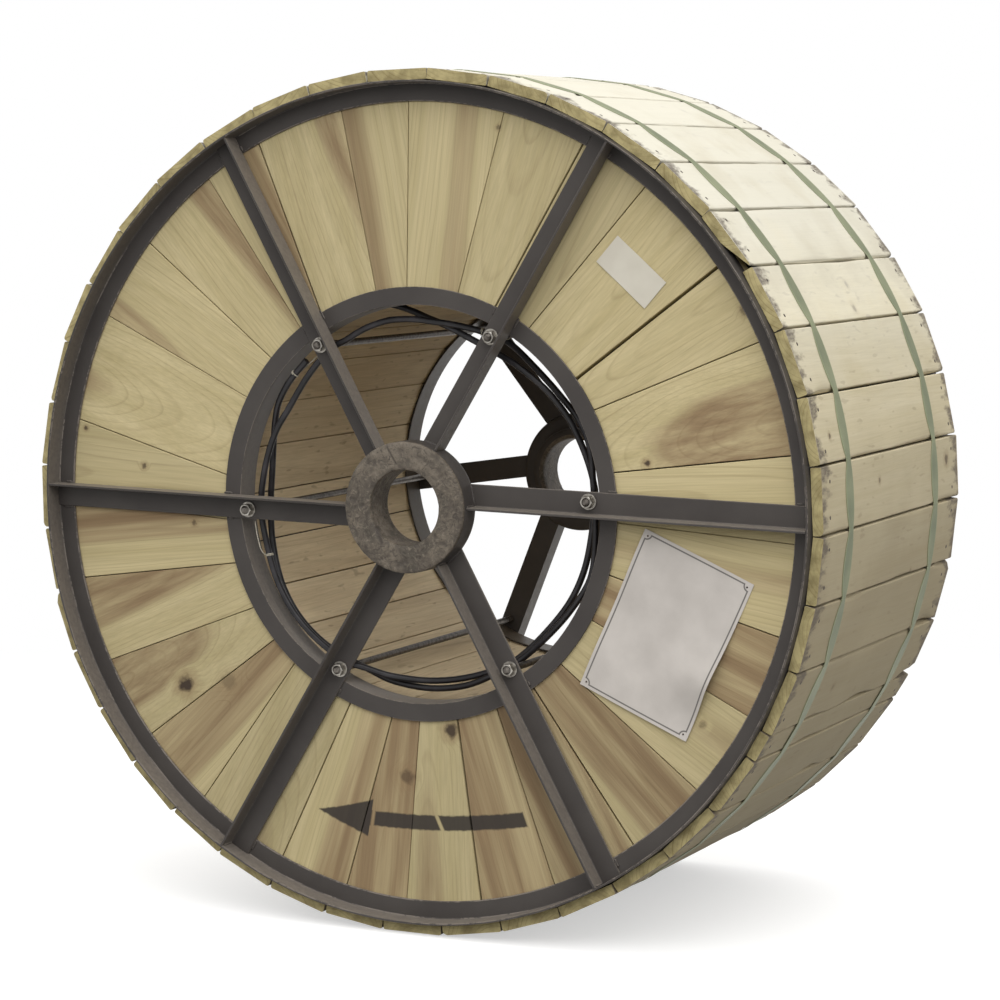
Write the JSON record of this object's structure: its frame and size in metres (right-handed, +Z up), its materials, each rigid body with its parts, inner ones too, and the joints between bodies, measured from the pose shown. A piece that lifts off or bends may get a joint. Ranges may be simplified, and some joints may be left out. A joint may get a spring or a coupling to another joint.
{
  "type": "cable reel",
  "caption": "Lagged cable drum of steel and wood on its rim: spoked angle-steel flanges with radial boards, a barrel of staves, tie rods, wound cable, plank lagging and plastic straps.",
  "frame": {"origin": "centre of the spindle bore, halfway between the two flanges", "axes": "+Y along the drum's axis, away from the front flange that carries the cable's tied end; +Z up; +X to the right seen from the front"},
  "size_m": [1.4413, 0.772, 1.4402],
  "materials": {
    "black_steel": "thin black paint on hot-rolled angle, satin",
    "forged_hub": "rough forged face with brown scale",
    "zinc": "zinc plated, dull",
    "board_pine": "sawn pine, dry, with darker heartwood",
    "stave_pine": "sawn pine, shaded and dusty",
    "plank_pine": "sawn pine, weathered pale with grey edges",
    "strap_plastic": "green polyester strapping, embossed",
    "cable_jacket": "black polyethylene jacket, satin"
  },
  "bodies": {
    "root": {"front_rim": "black_steel", "front_ring": "black_steel", "front_spokes": "black_steel", "front_hub": "forged_hub", "front_boards": "board_pine", "back_rim": "black_steel", "back_ring": "black_steel", "back_spokes": "black_steel", "back_hub": "forged_hub", "back_boards": "board_pine", "barrel_staves": "stave_pine", "wound_cable": "cable_jacket", "tie_rods": "zinc", "front_washers": "zinc", "front_nuts": "zinc", "back_washers": "zinc", "back_nuts": "zinc", "lagging_planks": "plank_pine", "closing_plank": "plank_pine", "front_strap": "strap_plastic", "back_strap": "strap_plastic", "cable_tail": "cable_jacket"}
  },
  "joints": []
}
